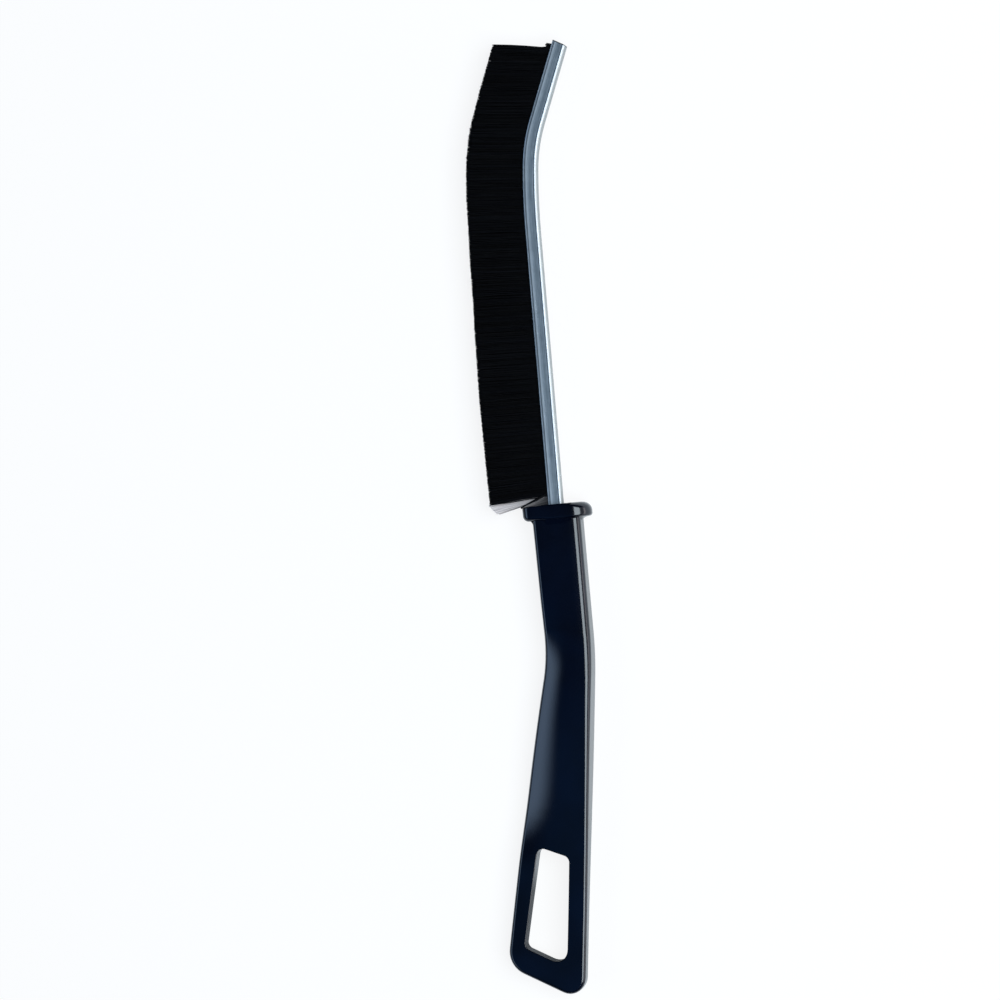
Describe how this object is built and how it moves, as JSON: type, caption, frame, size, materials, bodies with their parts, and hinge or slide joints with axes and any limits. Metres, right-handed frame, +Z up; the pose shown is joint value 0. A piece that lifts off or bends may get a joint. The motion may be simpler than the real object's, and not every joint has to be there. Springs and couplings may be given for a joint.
{
  "type": "grout brush",
  "caption": "Narrow hand brush for tile joints: stiff black bristles held in a bent metal channel, on a slim handle with a slot for hanging.",
  "frame": {"origin": "on the surface that the brush lies on, below the middle of its bounding box", "axes": "the brush lies on its side: +Y runs along it from the handle to the toe, +X points from the bristles to the back of the metal strip, +Z points up from the side it lies on"},
  "size_m": [0.0342, 0.251, 0.01],
  "materials": {
    "handle_plastic": "moulded, near-black navy, semi-gloss",
    "zinc_sheet": "galvanised, satin, fine lengthwise grain",
    "core_steel": "drawn wire, satin",
    "black_filament": "extruded filament, soft sheen",
    "grey_filament": "extruded filament, soft sheen"
  },
  "bodies": {
    "root": {"handle": "handle_plastic", "channel": "zinc_sheet", "core_wire": "core_steel", "filament_folds": "black_filament", "splayed_filaments": "grey_filament", "bristles_heel": "black_filament", "bristles_lower": "black_filament", "bristles_middle": "black_filament", "bristles_upper": "black_filament", "bristles_bend": "black_filament", "bristles_toe": "black_filament"}
  },
  "joints": []
}
